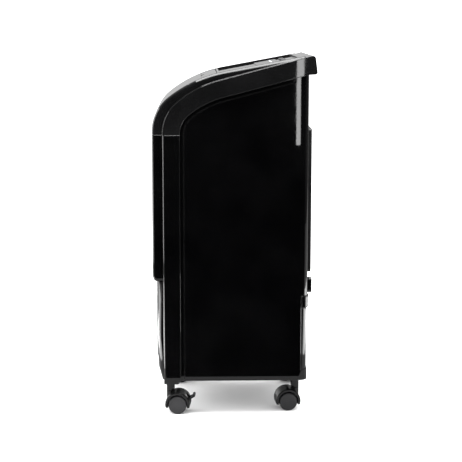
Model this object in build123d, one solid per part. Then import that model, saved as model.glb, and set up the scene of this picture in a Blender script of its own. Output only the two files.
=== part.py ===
"""Mobile evaporative air cooler on four twin-wheel casters.

Millimetres, +Z up, floor at Z = 0, the air outlet faces -Y and the water tank slides out towards +Y.
The origin is on the floor, under the middle of the cooler.
"""
from build123d import *
import math
import os

os.makedirs("parts", exist_ok=True)

# ---------------------------------------------------------------- driving dimensions
# Clearances
fit_gap = 0.3  # between fixed pieces that slip into each other
running_fit = 0.05  # radial, round pins and shafts that turn
press_fit = 0.02  # radial, pressed pins and bushes
far = 200.0  # beyond every side of the cooler, for cutting tools
tall = 700.0

# Casters
wheel_radius = 15.0
wheel_outer = 16.6
web_half_width = 2.2
wheel_inner = web_half_width + 0.6
wheel_edge_round = 1.8
wheel_dish = 0.4
wheel_rim = 3.2
wheel_cap = 1.4
axle_radius = 2.0
caster_trail = 12.5
caster_hood_inner = wheel_radius + 1.5
caster_hood_radius = caster_hood_inner + 4.0
caster_hood_height = wheel_radius + 1.5
caster_hood_half_width = wheel_outer + 0.4
caster_skirt = wheel_radius - 4.0
caster_edge_round = 1.5
stem_radius = 3.0
stem_grip = 8.0
boss_radius = 6.8
boss_bottom = caster_hood_height + caster_hood_radius + 1.0
boss_length = 20.5
pedal_half_width = 7.8
pedal_pin_radius = 1.2
pedal_pin_grip = 3.0
pedal_angle = 22.0
pedal_barrel = 2.2
pedal_reach = 12.0
pedal_thickness = 3.0
pedal_tip = 2.4
pedal_rise = 30.0
pedal_window_rise = 15.5
front_left_heading = 85.0  # direction in which the wheel trails, degrees from +X
front_right_heading = 105.0
rear_left_heading = -86.0
rear_right_heading = 170.0

# Outer casing
band_half_width = 122.5  # half the width across the side bands
band_front = -115.5  # front edge of the side bands
band_depth = 28.0  # how far a band reaches back, or down along the hood
band_wall = 3.5
band_edge_round = 4.0
band_foot_chamfer = 4.5
skin = 3.0  # wall of the hood, the fascias and the front wall
seam_height = 464.5  # joint between front frame and hood
shell_gap = 0.5
shell_half_width = band_half_width - band_wall - shell_gap
shell_rear = 121.0
shell_wall = 3.5
shell_inside = shell_half_width - shell_wall
shell_corner = 14.0
shell_foot = boss_bottom + boss_length
band_foot = shell_foot - band_foot_chamfer
groove_start = 20.0  # shallow groove that frames the side panel, from the rim
groove_end = 34.0
groove_depth = 1.7
front_stem = (band_half_width - 26.5, band_front + 10.5)
rear_stem = (shell_half_width - 38.5, shell_rear - 18.0)

# Side outline of the hood: nose arc, brow arc, then a straight slope to the rear
rim_shoulder = seam_height + 1.0
rim_nose_radius = 67.5
rim_nose_turn = 50.0
rim_brow_radius = 170.0
rim_slope = 14.7
rim_rear = shell_rear + 8.5
lip_reach = rim_rear + 4.0  # rearmost edge of the hood
lip_drop = 30.9
lip_root = shell_rear - 1.5
lip_hollow_rear = rim_rear - 0.5  # the rear lip is hollow from below
lip_hollow_drop = 18.9
lip_edge_round = 4.0
lip_top_round = 5.0
# Raised crown between the two rims
crown_half_width = band_half_width - 10.5
crown_front = band_front - 17.5
crown_shoulder = seam_height + 4.0
crown_nose_radius = 71.5
crown_nose_turn = 52.0
crown_brow_radius = 209.0
crown_slope = 10.6
crown_rear = shell_rear - 0.5
crown_edge_round = 6.0
crown_end_round = 8.0

# Openings in the crown, as Y positions
lid_front = -52.5
lid_rear = -26.5
lid_gap = 0.4
lid_thickness = 4.0
lid_sink = 0.5
lid_barrel = 2.0
lid_pin_radius = 1.2
lid_notch = 14.0
lug_length = 4.0
window_front = -23.5
window_rear = crown_rear - 17.0
top_opening_half_width = crown_half_width - 12.0
cap_seam = -73.0
cap_seam_lean = 30.0
seam_width = 0.8
seam_depth = 0.8

# Deck, tank and pump
deck_thickness = 3.0
drain_half_width = 85.0
tank_side_gap = 2.5
tank_half_width = shell_inside - tank_side_gap
tank_front = -67.5
tank_wall = 2.5
tank_box_rear = shell_rear - 10.2
tank_cover_rear = shell_rear - 1.3
tank_cover_bottom = shell_foot + 18.0
tank_cover_top = 199.5
tank_bottom = tank_cover_bottom + 1.7
tank_box_top = tank_cover_top - 4.5
tank_lip_rear = tank_cover_rear + 3.2
tank_lip_bottom = tank_cover_top - 21.5
tank_lip_bevel = 3.0
tank_grip_half_width = 42.0
tank_grip_bottom = tank_lip_bottom - 18.0
tank_grip_top = tank_cover_top - 9.5
tank_grip_depth = 8.0
deck_bottom = tank_cover_top + 5.5
deck_top = deck_bottom + deck_thickness
rail_gap = 0.3
rail_inner = 60.0
rail_width = 6.0
rail_setback = 4.0
base_thickness = 3.0
pipe_radius = 3.0
pipe_wall = 1.0
pipe_x = tank_half_width - 12.5
pipe_y = tank_box_rear - 9.3
pump_right = pipe_x + 7.0
pump_left = pump_right - 31.0
pump_rear = pipe_y + 5.0
pump_front = pump_rear - 27.0
pump_bottom = tank_bottom + tank_wall + 1.5
pump_top = pump_bottom + 22.0
pump_corner = 4.0
nozzle_wall = 1.5
nozzle_height = 8.0
pipe_socket = 3.0
impeller_x = pump_left + 12.0
impeller_y = pump_front + 13.0
impeller_radius = 8.0
impeller_height = 5.0
impeller_play = 1.0
impeller_disc = 1.2
impeller_blades = 6
pump_shaft_radius = 1.5
pump_shaft_length = 8.0
bracket_thickness = 2.5
bracket_post = 4.0
bracket_flange = 15.0
bracket_setback = 5.0

# Front
outlet_bottom = deck_top + 15.0
outlet_foot_round = 9.0
mouth_half_width = crown_half_width - 18.0
mouth_bottom = outlet_bottom + 25.0
mouth_top = seam_height - 15.0
mouth_liner = 2.5
mouth_edge_round = 1.5
liner_rear = band_front + 10.0
lower_half_width = crown_half_width - 4.0
lower_front = band_front - 11.6
lower_chamfer_height = shell_foot + 18.5
lower_face_height = shell_foot + 52.5
lower_chamfer_front = lower_front + 1.9
lower_toe = lower_front + 7.4
lower_edge_round = 5.0
level_half_width = 4.8
level_centre = lower_half_width - 29.0
level_bottom = tank_cover_bottom + 18.5
level_top = tank_box_top
level_proud = 0.4
level_gap = 0.2

# Louvres and vanes
louvre_count = 5
louvre_chord = 22.0
louvre_thickness = 2.6
louvre_pivot = band_front
louvre_pin_radius = 1.5
louvre_end = mouth_half_width - 0.8
louvre_crank_end = mouth_half_width - 6.0
crank_arm = 9.0
crank_pin_radius = 1.2
crank_root = 12.0
link_thickness = 2.4
link_width = 5.0
link_margin = 4.0
link_play = 0.4
pin_tip_gap = 0.5
duct_front = liner_rear + 4.0
vane_count = 4
vane_pitch = 2 * mouth_half_width / vane_count - 3.0
vane_chord = 34.0
vane_thickness = 2.0
vane_pivot = duct_front + 16.0
vane_pin_radius = 1.5
vane_crank_radius = 0.85
vane_crank_root = 6.0
vane_notch = 8.0
vane_play = 0.8
swing_motor_radius = 14.0
swing_motor_height = 16.0
swing_ear_reach = 22.0

# Rear intake
intake_half_width = shell_half_width - 26.0
intake_bottom = tank_cover_top + 40.5
intake_top = seam_height + 5.0
filter_half_width = intake_half_width + 4.5
filter_bottom = intake_bottom - 4.0
filter_top = intake_top + 4.0
filter_seat = shell_rear + 0.3
filter_rear = filter_seat + 5.8
filter_corner = 6.0
filter_edge_round = 1.5
filter_border = 11.0
filter_plug_front = shell_rear - 6.5
filter_plug_wall = 3.0
filter_plug_gap = 0.5
mesh_thickness = 0.8
slat_count = 11
slat_height = 4.0
slot_columns = 3
column_bar = 4.0
pad_front = filter_plug_front - 15.0
trough_front = pad_front - 4.0
trough_bottom = intake_top + 0.6
trough_top = trough_bottom + 11.4
trough_side = 2.0
drip_count = 12
drip_spacing = 15.0
drip_radius = 1.3

# Blower
duct_half_width = mouth_half_width + 1.0
duct_wall = 2.5
duct_rear = pad_front - 13.0
drum_axis_y = 20.5
drum_axis_z = (mouth_bottom + mouth_top) / 2
drum_radius = 62.0
blade_depth = 11.0
blade_thickness = 1.4
blade_lean = 28.0
blade_count = 28
drum_left = 7.0 - duct_half_width
drum_right = duct_half_width - 39.0
drum_disc = 2.5
hub_radius = 9.0
hub_length = 8.0
shaft_radius = 3.0
motor_radius = 30.0
motor_round = 4.0
motor_left = drum_right + 7.0
motor_nose = drum_right + 3.0
motor_nose_radius = 8.0
shaft_in_motor = motor_left + 15.0
bush_radius = 7.0
bush_flange = 10.0
bush_flange_thickness = 2.0
bush_inner_gap = 3.0
bush_stand = 1.5
baffle_radius = drum_radius + 6.0
baffle_wall = 2.5
baffle_front = 45.0
baffle_rear = 62.0
baffle_drop = 25.0
tongue_front = 50.0
tongue_rise = 55.0
tongue_wall = 3.0
foot_half_span = duct_half_width - 14.0
foot_wall = 3.0

# Latch and gland at the back
latch_x = 85.0
latch_height = tank_cover_top + 13.5
latch_half_length = 13.0
latch_radius = 7.0
latch_front = shell_rear + 0.8
latch_rear = latch_front + 7.7
latch_round = 1.6
latch_groove = 0.9
latch_groove_width = 1.6
latch_groove_pitch = 3.2
latch_groove_count = 5
spindle_radius = 3.0
spindle_nut_radius = 4.8
spindle_nut_length = 4.0
gland_x = -60.0
gland_height = deck_top + 9.0
gland_radius = 7.0
gland_bore = 3.3
gland_grip = 4.0
gland_passage = 4.0
gland_neck = 5.2
gland_stand = 4.5
gland_nut_length = 4.0

# Controls, as Y positions and depths below the crown
panel_top = skin
panel_bottom = 2 * skin
glass_front = 38.5
glass_rear = 74.5
glass_margin = 12.0
glass_thickness = 0.9
button_row = 83.5
button_count = 5
button_pitch = 22.0
button_length = 14.0
button_width = 8.0
button_gap = 0.35
button_stand = 1.4
button_flange = 1.0
button_depth = 2.2
button_rest_gap = 0.15
button_travel = 1.2
board_half_width = crown_half_width - 24.0
board_depth = 14.0
board_thickness = 1.6
board_post_radius = 2.5
board_post_inset = 6.0

# Screws
screw_radius = 1.5
screw_head = 3.2
head_height = 2.0
head_round = 0.9
screw_length = 9.0
cross_half_length = 2.0
cross_half_width = 0.4
back_screw_x = 40.0
back_screw_heights = (tank_cover_top + 22.5, seam_height + 44.0)
base_screw_x = 75.0
base_screw_places = (-77.5, 62.5)


# ---------------------------------------------------------------- shared helpers
def block(low, high):
    """A box between two opposite corners."""
    size = [b - a for a, b in zip(low, high)]
    middle = [(a + b) / 2 for a, b in zip(low, high)]
    return Pos(*middle) * Box(*size)


def rod_x(radius, start, end, y, z):
    """A cylinder along X."""
    return Pos((start + end) / 2, y, z) * Rot(0, 90, 0) * Cylinder(radius, end - start)


def rod_y(radius, start, end, x, z):
    """A cylinder along Y."""
    return Pos(x, (start + end) / 2, z) * Rot(90, 0, 0) * Cylinder(radius, end - start)


def rod_z(radius, start, end, x, y):
    """A cylinder along Z."""
    return Pos(x, y, (start + end) / 2) * Cylinder(radius, end - start)


def fan_out(count, pitch):
    """Evenly spaced places, centred on zero."""
    return [(i - (count - 1) / 2) * pitch for i in range(count)]


def across(face, half_width):
    """A side outline thickened equally to both sides of the middle."""
    return extrude(Pos(-half_width, 0, 0) * face, amount=2 * half_width, dir=(1, 0, 0))


class Crest:
    """Side outline that rises from the front, bends over in two arcs and runs up a slope."""

    def __init__(self, front, shoulder, nose, turn, brow, slope):
        self.front = front
        self.nose = nose
        self.brow = brow
        self.turn = math.radians(turn)
        self.last = math.radians(90 - slope)
        self.slope = math.radians(slope)
        self.nose_centre = (front + nose, shoulder)
        self.brow_centre = (
            self.nose_centre[0] + (brow - nose) * math.cos(self.turn),
            self.nose_centre[1] - (brow - nose) * math.sin(self.turn),
        )

    def on(self, centre, radius, turn):
        return (centre[0] - radius * math.cos(turn), centre[1] + radius * math.sin(turn))

    def height(self, y, inset=0.0):
        """Height of the brow arc or of the slope behind it, above a Y position."""
        radius = self.brow - inset
        ridge = self.on(self.brow_centre, radius, self.last)
        if y > ridge[0]:
            return ridge[1] + (y - ridge[0]) * math.tan(self.slope)
        return self.brow_centre[1] + math.sqrt(radius**2 - (y - self.brow_centre[0]) ** 2)

    def edges(self, inset, foot, rear):
        """The outline's edges from the foot of the front to the rear end."""
        nose = self.nose - inset
        brow = self.brow - inset
        shoulder = self.on(self.nose_centre, nose, 0)
        temple = self.on(self.nose_centre, nose, self.turn)
        ridge = self.on(self.brow_centre, brow, self.last)
        return [
            Line((shoulder[0], foot), shoulder),
            ThreePointArc(shoulder, self.on(self.nose_centre, nose, self.turn / 2), temple),
            ThreePointArc(temple, self.on(self.brow_centre, brow, (self.turn + self.last) / 2), ridge),
            Line(ridge, (rear, self.height(rear, inset))),
        ]

    def area(self, inset, foot, rear):
        """Everything under the outline, down to the foot."""
        top = self.edges(inset, foot, rear)
        corner = (rear, foot)
        closing = [Line((rear, self.height(rear, inset)), corner), Line(corner, (self.front + inset, foot))]
        return Plane.YZ * make_face(top + closing)


rim = Crest(band_front, rim_shoulder, rim_nose_radius, rim_nose_turn, rim_brow_radius, rim_slope)
crown = Crest(
    crown_front, crown_shoulder, crown_nose_radius, crown_nose_turn, crown_brow_radius, crown_slope
)


def crown_slab(front, rear, half_width, top, bottom):
    """A slab that follows the crown; top and bottom are depths under its surface."""
    slab = across(crown.area(top, 0, far), half_width) - across(crown.area(bottom, -1, far + 1), far)
    return slab & block((-far, front, seam_height), (far, rear, tall))


def crown_spot(y, depth):
    """The place under a point of the crown's slope, this deep along the slope's normal."""
    lean = math.radians(crown_slope)
    return (0, y + depth * math.sin(lean), crown.height(y) - depth * math.cos(lean))


# ---------------------------------------------------------------- front frame
front_inner = band_front + skin
band_rear = band_front + band_depth
front_frame = block((-band_half_width, band_front, band_foot), (band_half_width, band_rear, seam_height))
front_frame = fillet(front_frame.edges().filter_by(Axis.Z).group_by(Axis.Y)[0], band_edge_round)
foot_edge = front_frame.edges().filter_by(Axis.X).group_by(Axis.Z)[0].sort_by(Axis.Y)[-1]
front_frame = chamfer(foot_edge, band_foot_chamfer)
front_frame -= block(
    (-band_half_width + band_wall, front_inner, 0), (band_half_width - band_wall, far, tall)
)
mouth_outer = mouth_half_width + mouth_liner
front_frame -= block(
    (-mouth_outer - fit_gap, -far, mouth_bottom - mouth_liner - fit_gap),
    (mouth_outer + fit_gap, far, mouth_top + mouth_liner + fit_gap),
)

# ---------------------------------------------------------------- top hood
band_edges = rim.edges(0, seam_height, rim_rear)
inner_edges = rim.edges(band_depth, seam_height, lip_root)
rear_top = (rim_rear, rim.height(rim_rear))
lip_edge = (lip_reach, rear_top[1] - lip_drop)
band_inner_end = (lip_root, rim.height(lip_root, band_depth))
band_closing = [
    Line(rear_top, lip_edge),
    Line(lip_edge, band_inner_end),
    Line((band_front, seam_height), (band_rear, seam_height)),
]
band_outline = Plane.YZ * make_face(band_edges + inner_edges + band_closing)
top_hood = across(band_outline, band_half_width)
lip_edges = top_hood.edges().filter_by(Axis.X).sort_by(Axis.Y)
top_hood = fillet(lip_edges[-1], lip_edge_round)
rear_edge = top_hood.edges().filter_by(Axis.X).filter_by_position(Axis.Y, rim_rear - 1, rim_rear + 1)
top_hood = fillet(rear_edge, lip_top_round)
crown_body = across(crown.area(0, seam_height, crown_rear), crown_half_width)
crown_sides = crown_body.faces().sort_by(Axis.X)
crown_rim = crown_sides[0].edges() + crown_sides[-1].edges()
crown_rim = [e for e in crown_rim if e.center().Z > seam_height + 1 and e.center().Y < crown_rear - 0.1]
crown_body = fillet(crown_rim, crown_edge_round)
crown_body = fillet(crown_body.edges().filter_by(Axis.X).group_by(Axis.Z)[-1], crown_end_round)
hood_inside = across(rim.area(skin, 0, shell_rear + skin), band_half_width - band_wall)
crown_inside = across(crown.area(skin, 0, crown_rear - skin), crown_half_width - skin)
top_hood = top_hood + crown_body - hood_inside - crown_inside
lip_hollow = band_half_width - band_wall
lip_hollow_top = rear_top[1] - lip_hollow_drop
top_hood -= block((-lip_hollow, shell_rear, 0), (lip_hollow, lip_hollow_rear, lip_hollow_top))
through = 4 * skin
for front, rear in ((lid_front, lid_rear), (window_front, window_rear)):
    top_hood -= crown_slab(front, rear, top_opening_half_width, -through, through)
seam_z = crown.height(cap_seam)
top_hood -= Pos(0, cap_seam, seam_z) * Rot(cap_seam_lean, 0, 0) * Box(2 * far, seam_width, 2 * seam_depth)
# Lugs that hold the hinge pins of the lid
lid_hinge_y = lid_rear - lid_barrel - 0.2
lid_hinge_depth = lid_sink + lid_barrel
lid_pin_reach = top_opening_half_width + lug_length - 0.8
lid_hinge = (0, lid_hinge_y, crown.height(lid_hinge_y, lid_hinge_depth))
lug_out = top_opening_half_width + lug_length
for side in (-1, 1):
    lug_ends = sorted((side * top_opening_half_width, side * lug_out))
    top_hood += block(
        (lug_ends[0], lid_hinge[1] - lug_length, lid_hinge[2] - lug_length),
        (lug_ends[1], lid_hinge[1] + lid_barrel, lid_hinge[2] + 1.0),
    )
pin_hole = lid_pin_radius + running_fit
top_hood -= rod_x(pin_hole, -lug_out + 0.4, lug_out - 0.4, lid_hinge[1], lid_hinge[2])

# ---------------------------------------------------------------- filling lid in the crown
lid_half_width = top_opening_half_width - lid_gap
lid_under = lid_sink + lid_thickness
fill_lid = crown_slab(lid_front + lid_gap, lid_hinge[1], lid_half_width, lid_sink, lid_under)
fill_lid += rod_x(lid_barrel, -lid_half_width, lid_half_width, lid_hinge[1], lid_hinge[2])
fill_lid -= crown_slab(lid_front - 1, lid_front + lid_thickness + 1, lid_notch, -1, lid_thickness / 2)
fill_lid += rod_x(lid_pin_radius, -lid_pin_reach, lid_pin_reach, lid_hinge[1], lid_hinge[2])

# ---------------------------------------------------------------- body shell
shell_front = band_front + 2 * skin + shell_gap


def rounded_plan(half_width, rear, radius, low, high):
    """A block with its two rear upright edges rounded."""
    body = block((-half_width, shell_front, low), (half_width, rear, high))
    return fillet(body.edges().filter_by(Axis.Z).group_by(Axis.Y)[-1], radius)


body_shell = rounded_plan(shell_half_width, shell_rear, shell_corner, shell_foot, tall)
inner = block((-shell_inside, -far, 0), (shell_inside, shell_rear - shell_wall, tall + 1))
inner = fillet(inner.edges().filter_by(Axis.Z).group_by(Axis.Y)[-1], shell_corner - shell_wall)
body_shell -= inner
body_shell &= across(rim.area(2 * skin + shell_gap, 0, far), far)
groove = across(rim.area(groove_start, 0, far), far) - across(rim.area(groove_end, 0, far + 1), far + 1)
groove -= block((-shell_half_width + groove_depth, -far, 0), (shell_half_width - groove_depth, far, tall))
groove &= block((-far, -far, 0), (far, shell_rear - shell_corner - 8, tall))
body_shell -= groove
body_shell -= block(
    (-intake_half_width, shell_rear - 8, intake_bottom), (intake_half_width, far, intake_top)
)
tank_cut = tank_box_rear - 2 * fit_gap
body_shell -= block((-far, tank_cut, tank_cover_bottom - fit_gap), (far, far, tank_cover_top + 2 * fit_gap))
body_shell -= rod_y(spindle_radius + running_fit, shell_rear - 8, far, latch_x, latch_height)
body_shell -= rod_y(gland_neck + 0.1, shell_rear - 8, far, gland_x, gland_height)

# ---------------------------------------------------------------- base tray with caster bosses
base_half_width = shell_inside - fit_gap
base_rear = shell_rear - shell_wall - fit_gap
base_top = shell_foot + base_thickness
base_low = (-base_half_width, front_inner + fit_gap, shell_foot)
base_tray = block(base_low, (base_half_width, base_rear, base_top))
base_tray = fillet(base_tray.edges().filter_by(Axis.Z).group_by(Axis.Y)[-1], shell_corner - shell_wall)
stems = [(side * x, y) for x, y in (front_stem, rear_stem) for side in (1, -1)]
for x, y in stems:
    base_tray += rod_z(boss_radius, boss_bottom, base_top, x, y)
for side in (-1, 1):
    rail_edges = sorted((side * rail_inner, side * (rail_inner + rail_width)))
    base_tray += block(
        (rail_edges[0], tank_front, base_top - 0.5),
        (rail_edges[1], tank_cut - rail_setback, tank_bottom - rail_gap),
    )
stem_fit = stem_radius + running_fit
for x, y in stems:
    base_tray -= rod_z(stem_fit, boss_bottom - 1, base_top + 1, x, y)

# ---------------------------------------------------------------- outlet frame and its louvres
outlet_top = seam_height - fit_gap
outlet_frame = block(
    (-crown_half_width, crown_front, outlet_bottom), (crown_half_width, band_front, outlet_top)
)
outlet_frame = fillet(outlet_frame.edges().filter_by(Axis.Z).group_by(Axis.Y)[0], crown_edge_round)
outlet_frame = fillet(outlet_frame.edges().group_by(Axis.Z)[0].sort_by(Axis.Y)[0], outlet_foot_round)
outlet_frame -= block(
    (-crown_half_width + skin, crown_front + skin, outlet_bottom + skin),
    (crown_half_width - skin, far, outlet_top - skin),
)
outlet_frame += block(
    (-mouth_outer, crown_front + skin - 0.5, mouth_bottom - mouth_liner),
    (mouth_outer, liner_rear, mouth_top + mouth_liner),
)
outlet_frame -= block((-mouth_half_width, -far, mouth_bottom), (mouth_half_width, far, mouth_top))
mouth_rim = outlet_frame.edges().group_by(Axis.Y)[0]
mouth_rim = mouth_rim.filter_by_position(Axis.X, -mouth_outer, mouth_outer)
mouth_rim = mouth_rim.filter_by_position(Axis.Z, mouth_bottom - 1, mouth_top + 1)
outlet_frame = fillet(mouth_rim, mouth_edge_round)
louvre_pitch = (mouth_top - mouth_bottom) / louvre_count
louvre_heights = [mouth_bottom + louvre_pitch * (i + 0.5) for i in range(louvre_count)]
louvre_reach = mouth_outer - pin_tip_gap
for z in louvre_heights:
    hole_end = louvre_reach + pin_tip_gap / 2
    outlet_frame -= rod_x(louvre_pin_radius + running_fit, -hole_end, hole_end, louvre_pivot, z)


def blade_outline(chord, thickness):
    """A flat lens: two arcs that meet in thin edges."""
    ends = [(-chord / 2, 0), (chord / 2, 0)]
    upper = ThreePointArc(ends[0], (0, thickness / 2), ends[1])
    lower = ThreePointArc(ends[0], (0, -thickness / 2), ends[1])
    return make_face([upper, lower])


crank_y = louvre_pivot + crank_arm
crank_tip = louvre_crank_end + link_thickness + 2 * link_play
louvres = []
for z in louvre_heights:
    slat = Pos(0, louvre_pivot, z) * (Plane.YZ * blade_outline(louvre_chord, louvre_thickness))
    slat = across(slat, louvre_end)
    slat -= block((louvre_crank_end, louvre_pivot - far, 0), (far, far, tall))
    slat += rod_x(louvre_pin_radius, -louvre_reach, louvre_reach, louvre_pivot, z)
    slat += rod_x(crank_pin_radius, louvre_crank_end - crank_root, crank_tip, crank_y, z)
    louvres.append(slat)
link_x = louvre_crank_end + link_play
louvre_link = block(
    (link_x, crank_y - link_width / 2, louvre_heights[0] - link_margin),
    (link_x + link_thickness, crank_y + link_width / 2, louvre_heights[-1] + link_margin),
)
for z in louvre_heights:
    louvre_link -= rod_x(crank_pin_radius + running_fit, 0, far, crank_y, z)

# ---------------------------------------------------------------- lower front panel and level window
toe = [(lower_toe, shell_foot), (lower_chamfer_front, lower_chamfer_height), (lower_front, lower_face_height)]
lower_top = outlet_bottom - fit_gap
lower_points = [(band_front, shell_foot)] + toe + [(lower_front, lower_top), (band_front, lower_top)]
lower_panel = across(Plane.YZ * make_face(Polyline(lower_points + lower_points[:1])), lower_half_width)
upright = lower_panel.edges().filter_by(lambda e: abs(e.center().X) > lower_half_width - 1)
upright = upright.filter_by_position(Axis.Y, -far, lower_toe + 1)
upright = [e for e in upright if abs(e.tangent_at(0.5).Z) > 0.9]
lower_panel = fillet(upright, lower_edge_round)
lower_panel -= block(
    (-lower_half_width + skin, lower_front + 2 * skin, lower_chamfer_height),
    (lower_half_width - skin, far, lower_top - skin),
)
lower_panel -= block(
    (level_centre - level_half_width - level_gap, -far, level_bottom - level_gap),
    (level_centre + level_half_width + level_gap, far, level_top + level_gap),
)
level_window = block(
    (level_centre - level_half_width, lower_front - level_proud, level_bottom),
    (level_centre + level_half_width, lower_front + 2 * skin, level_top),
)
level_window = fillet(level_window.edges().filter_by(Axis.Z).group_by(Axis.Y)[0], 1.0)

# ---------------------------------------------------------------- blower housing, vanes, drum, motor
housing_bottom = mouth_bottom - duct_wall
housing_top = mouth_top + duct_wall
blower_housing = block(
    (-duct_half_width - duct_wall, duct_front, housing_bottom),
    (duct_half_width + duct_wall, duct_rear, housing_top),
)
blower_housing -= block((-duct_half_width, -far, mouth_bottom), (duct_half_width, far, mouth_top))
baffle_half = duct_half_width + 1
baffle = rod_x(baffle_radius + baffle_wall, -baffle_half, baffle_half, drum_axis_y, drum_axis_z)
baffle -= rod_x(baffle_radius, -far, far, drum_axis_y, drum_axis_z)
baffle_low = (-far, drum_axis_y - baffle_front, 0)
baffle &= block(baffle_low, (far, drum_axis_y + baffle_rear, drum_axis_z - baffle_drop))
blower_housing += baffle
tongue_y = drum_axis_y - tongue_front
blower_housing += block(
    (-duct_half_width - 1, tongue_y, drum_axis_z + tongue_rise),
    (duct_half_width + 1, tongue_y + tongue_wall, mouth_top + 1),
)
for side in (-1, 1):
    blower_housing += block(
        (side * foot_half_span - foot_wall / 2, duct_front, deck_top),
        (side * foot_half_span + foot_wall / 2, duct_rear, housing_bottom + 1),
    )
vane_places = fan_out(vane_count, vane_pitch)
for x in vane_places:
    blower_housing -= rod_z(vane_pin_radius + running_fit, housing_bottom - 1, housing_top + 1, x, vane_pivot)
blower_housing -= rod_x(bush_radius + press_fit, -far, 0, drum_axis_y, drum_axis_z)

vane_bottom = mouth_bottom + vane_play
vane_top = mouth_top - vane_play
vane_crank = vane_pivot + crank_arm
link_low = vane_bottom + 1.0
vanes = []
for x in vane_places:
    slat = Pos(x, vane_pivot, vane_bottom) * Rot(0, 0, 90) * blade_outline(vane_chord, vane_thickness)
    slat = extrude(slat, amount=vane_top - vane_bottom, dir=(0, 0, 1))
    notch_low = (x - vane_notch, vane_crank - link_width, 0)
    slat -= block(notch_low, (x + vane_notch, far, link_low + link_thickness + vane_play))
    slat += rod_z(vane_pin_radius, housing_bottom, housing_top, x, vane_pivot)
    slat += rod_z(vane_crank_radius, vane_bottom, link_low + link_thickness + vane_crank_root, x, vane_crank)
    vanes.append(slat)
vane_link = block(
    (vane_places[0] - link_width, vane_crank - link_width / 2, link_low),
    (vane_places[-1] + link_width, vane_crank + link_width / 2, link_low + link_thickness),
)
for x in vane_places:
    vane_link -= rod_z(vane_crank_radius + running_fit, 0, tall, x, vane_crank)
swing_x = vane_places[-2]
swing_motor = rod_z(
    swing_motor_radius, housing_bottom - swing_motor_height, housing_bottom, swing_x, vane_pivot
)
swing_motor += block(
    (swing_x - swing_ear_reach, vane_pivot - link_margin, housing_bottom - 2),
    (swing_x + swing_ear_reach, vane_pivot + link_margin, housing_bottom),
)

hub_bore = shaft_radius + press_fit
disc_places = [drum_left, (drum_left + drum_right) / 2, drum_right - drum_disc]
blower_drum = rod_x(drum_radius, drum_left, drum_left + drum_disc, drum_axis_y, drum_axis_z)
for x in disc_places[1:]:
    blower_drum += rod_x(drum_radius, x, x + drum_disc, drum_axis_y, drum_axis_z)
for x in disc_places[1:2]:
    blower_drum -= rod_x(drum_radius - blade_depth - 2, x - 1, x + drum_disc + 1, drum_axis_y, drum_axis_z)
blade_shape = Pos((drum_left + drum_right) / 2, 0, drum_radius - blade_depth / 2 - 0.8)
blade_shape = blade_shape * Rot(blade_lean, 0, 0) * Box(drum_right - drum_left, blade_thickness, blade_depth)
drum_centre = Pos(0, drum_axis_y, drum_axis_z)
blades = [drum_centre * Rot(360 / blade_count * i, 0, 0) * blade_shape for i in range(blade_count)]
blower_drum += blades
for x, reach in ((drum_left, hub_length), (drum_right, -hub_length)):
    ends = sorted((x, x + reach))
    blower_drum += rod_x(hub_radius, ends[0], ends[1], drum_axis_y, drum_axis_z)
blower_drum -= rod_x(hub_bore, -far, far, drum_axis_y, drum_axis_z)
bush_out = duct_half_width + duct_wall + bush_stand
blower_shaft = rod_x(shaft_radius, -bush_out + 1, shaft_in_motor, drum_axis_y, drum_axis_z)
bearing_bush = rod_x(bush_radius, -bush_out, drum_left - bush_inner_gap, drum_axis_y, drum_axis_z)
flange_end = bush_flange_thickness - duct_half_width
bearing_bush += rod_x(bush_flange, -duct_half_width, flange_end, drum_axis_y, drum_axis_z)
bearing_bush -= rod_x(shaft_radius + running_fit, -far, 0, drum_axis_y, drum_axis_z)
blower_motor = rod_x(motor_radius, motor_left, duct_half_width, drum_axis_y, drum_axis_z)
blower_motor = fillet(blower_motor.edges().group_by(Axis.X)[0], motor_round)
blower_motor += rod_x(motor_nose_radius, motor_nose, motor_left + 1, drum_axis_y, drum_axis_z)
blower_motor -= rod_x(shaft_radius + running_fit, 0, shaft_in_motor + 2, drum_axis_y, drum_axis_z)

# ---------------------------------------------------------------- deck between tank bay and blower
deck = block((-base_half_width, front_inner + fit_gap, deck_bottom), (base_half_width, base_rear, deck_top))
deck = fillet(deck.edges().filter_by(Axis.Z).group_by(Axis.Y)[-1], shell_corner - shell_wall)
deck -= block((-drain_half_width, pad_front - 6, 0), (drain_half_width, pad_front + 6, tall))
deck -= rod_z(pipe_radius + fit_gap, 0, tall, pipe_x, pipe_y)

# ---------------------------------------------------------------- water tank with its rear cover
water_tank = block(
    (-tank_half_width, tank_front, tank_bottom), (tank_half_width, tank_box_rear + 1, tank_box_top)
)
tank_cover = rounded_plan(shell_half_width, tank_cover_rear, shell_corner, tank_cover_bottom, tank_cover_top)
tank_lip = rounded_plan(shell_half_width, tank_lip_rear, shell_corner, tank_lip_bottom, tank_cover_top)
tank_lip = chamfer(tank_lip.edges().group_by(Axis.Z)[0].sort_by(Axis.Y)[-1], tank_lip_bevel)
tank_cover += tank_lip
tank_cover -= block((-far, -far, 0), (far, tank_box_rear, tall))
water_tank += tank_cover
water_tank -= block(
    (-tank_half_width + tank_wall, tank_front + tank_wall, tank_bottom + tank_wall),
    (tank_half_width - tank_wall, tank_box_rear - tank_wall, tall),
)
water_tank -= block(
    (-tank_grip_half_width, tank_lip_rear - tank_wall - tank_grip_depth, tank_grip_bottom),
    (tank_grip_half_width, far, tank_lip_bottom - 1),
)
water_tank -= block(
    (-tank_grip_half_width, tank_lip_rear - tank_wall - tank_grip_depth, tank_grip_bottom),
    (tank_grip_half_width, tank_lip_rear - skin, tank_grip_top),
)

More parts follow.
